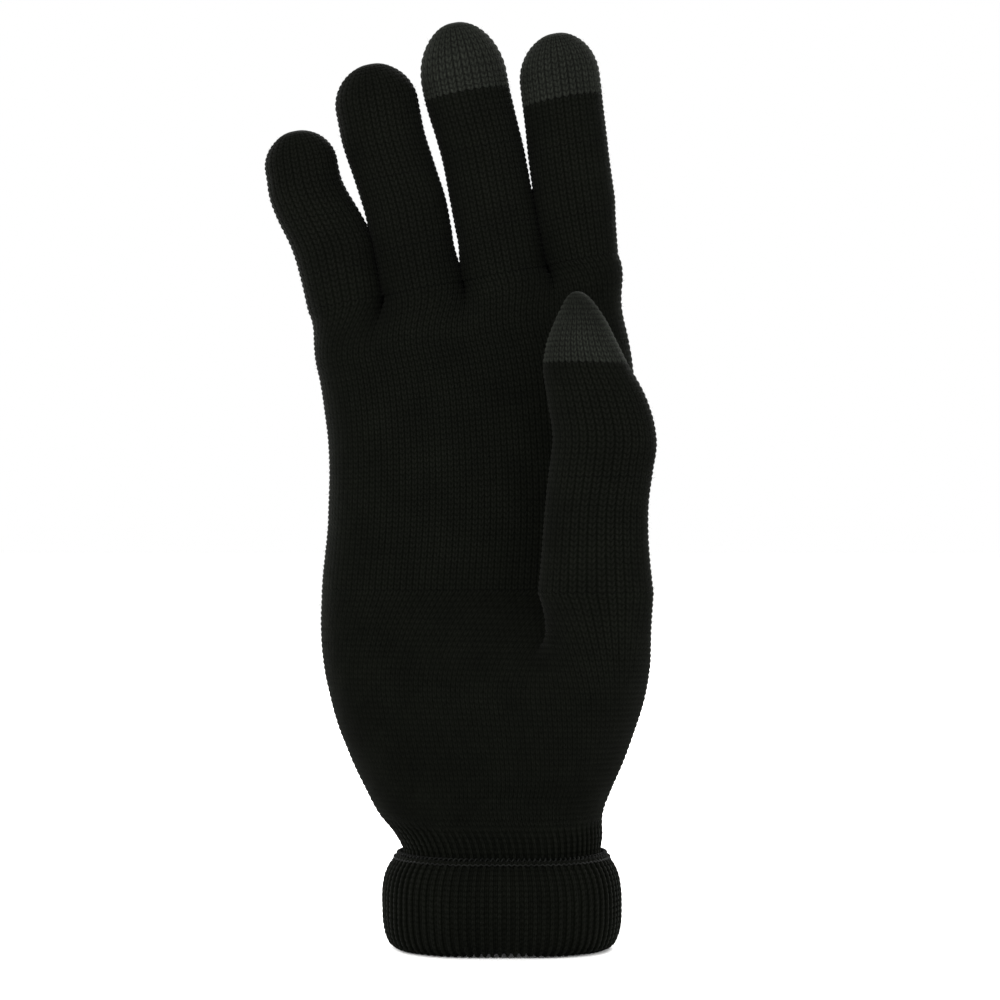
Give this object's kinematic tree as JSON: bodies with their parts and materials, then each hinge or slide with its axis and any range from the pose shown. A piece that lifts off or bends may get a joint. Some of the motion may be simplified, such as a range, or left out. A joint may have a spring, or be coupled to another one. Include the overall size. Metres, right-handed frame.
{
  "type": "knitted touchscreen glove",
  "caption": "Right-hand stretch-knit glove with grey conductive thumb, index and middle tips, a ribbed wrist and a short turned-up cuff, in its worn shape.",
  "frame": {"origin": "centre of the wrist opening, in the plane of the cuff's lower fold", "axes": "+Z from the wrist to the fingertips, the palm faces -Y, the thumb is at +X"},
  "size_m": [0.1028, 0.0585, 0.2466],
  "materials": {
    "black_knit": "matte",
    "conductive_knit": "matte",
    "overlock_thread": "matte",
    "elastic_thread": "matte"
  },
  "bodies": {
    "hand": {"wrist_rib": "black_knit", "cuff_turnup": "black_knit", "cuff_hem_overlock": "overlock_thread", "wrist_elastic_threads": "elastic_thread", "palm_lower": "black_knit", "palm_upper": "black_knit"},
    "thumb": {"thumb_stall": "black_knit"},
    "thumb_end": {"thumb_end_band": "black_knit", "thumb_touch_tip": "conductive_knit"},
    "index_base": {"index_stall_base": "black_knit"},
    "index_middle": {"index_stall_middle": "black_knit"},
    "index_end": {"index_end_band": "black_knit", "index_touch_tip": "conductive_knit"},
    "middle_base": {"middle_stall_base": "black_knit"},
    "middle_middle": {"middle_stall_middle": "black_knit"},
    "middle_end": {"middle_end_band": "black_knit", "middle_touch_tip": "conductive_knit"},
    "ring_base": {"ring_stall_base": "black_knit"},
    "ring_middle": {"ring_stall_middle": "black_knit"},
    "ring_end": {"ring_stall_end": "black_knit"},
    "pinky_base": {"pinky_stall_base": "black_knit"},
    "pinky_middle": {"pinky_stall_middle": "black_knit"},
    "pinky_end": {"pinky_stall_end": "black_knit"}
  },
  "joints": [
    {"name": "thumb_swing", "type": "hinge", "parent": "hand", "child": "thumb", "pos_m": [0.031, -0.0235, 0.0945], "axis": [0, 1, 0], "range_deg": [0, 50]},
    {"name": "thumb_knuckle", "type": "hinge", "parent": "thumb", "child": "thumb_end", "pos_m": [0.019, -0.0228, 0.134], "axis": [0, 1, 0], "range_deg": [-60, 0]},
    {"name": "index_base_bend", "type": "hinge", "parent": "hand", "child": "index_base", "pos_m": [0.02121, 0.002, 0.18191], "axis": [0.9833, 0, 0.1822], "range_deg": [0, 70]},
    {"name": "index_middle_bend", "type": "hinge", "parent": "index_base", "child": "index_middle", "pos_m": [0.01738, 0.002, 0.20257], "axis": [0.9833, 0, 0.1822], "range_deg": [0, 80]},
    {"name": "index_end_bend", "type": "hinge", "parent": "index_middle", "child": "index_end", "pos_m": [0.01394, 0.002, 0.2211], "axis": [0.9833, 0, 0.1822], "range_deg": [0, 40]},
    {"name": "middle_base_bend", "type": "hinge", "parent": "hand", "child": "middle_base", "pos_m": [0.00016, 0.002, 0.17801], "axis": [0.9833, 0, 0.1822], "range_deg": [0, 70]},
    {"name": "middle_middle_bend", "type": "hinge", "parent": "middle_base", "child": "middle_middle", "pos_m": [-0.00414, 0.002, 0.20125], "axis": [0.9833, 0, 0.1822], "range_deg": [0, 80]},
    {"name": "middle_end_bend", "type": "hinge", "parent": "middle_middle", "child": "middle_end", "pos_m": [-0.00801, 0.002, 0.22209], "axis": [0.9833, 0, 0.1822], "range_deg": [0, 40]},
    {"name": "ring_base_bend", "type": "hinge", "parent": "hand", "child": "ring_base", "pos_m": [-0.02167, 0.002, 0.17397], "axis": [0.9833, 0, 0.1822], "range_deg": [0, 70]},
    {"name": "ring_middle_bend", "type": "hinge", "parent": "ring_base", "child": "ring_middle", "pos_m": [-0.02552, 0.002, 0.19476], "axis": [0.9833, 0, 0.1822], "range_deg": [0, 80]},
    {"name": "ring_end_bend", "type": "hinge", "parent": "ring_middle", "child": "ring_end", "pos_m": [-0.02898, 0.002, 0.21341], "axis": [0.9833, 0, 0.1822], "range_deg": [0, 40]},
    {"name": "pinky_base_bend", "type": "hinge", "parent": "hand", "child": "pinky_base", "pos_m": [-0.04202, 0.002, 0.17019], "axis": [0.9833, 0, 0.1822], "range_deg": [0, 70]},
    {"name": "pinky_middle_bend", "type": "hinge", "parent": "pinky_base", "child": "pinky_middle", "pos_m": [-0.04508, 0.002, 0.18671], "axis": [0.9833, 0, 0.1822], "range_deg": [0, 80]},
    {"name": "pinky_end_bend", "type": "hinge", "parent": "pinky_middle", "child": "pinky_end", "pos_m": [-0.04782, 0.002, 0.20152], "axis": [0.9833, 0, 0.1822], "range_deg": [0, 40]}
  ],
  "couplings": [
    {"joint": "index_end_bend", "follows": "index_middle_bend", "ratio": 0.5},
    {"joint": "middle_end_bend", "follows": "middle_middle_bend", "ratio": 0.5},
    {"joint": "ring_end_bend", "follows": "ring_middle_bend", "ratio": 0.5},
    {"joint": "pinky_end_bend", "follows": "pinky_middle_bend", "ratio": 0.5}
  ]
}
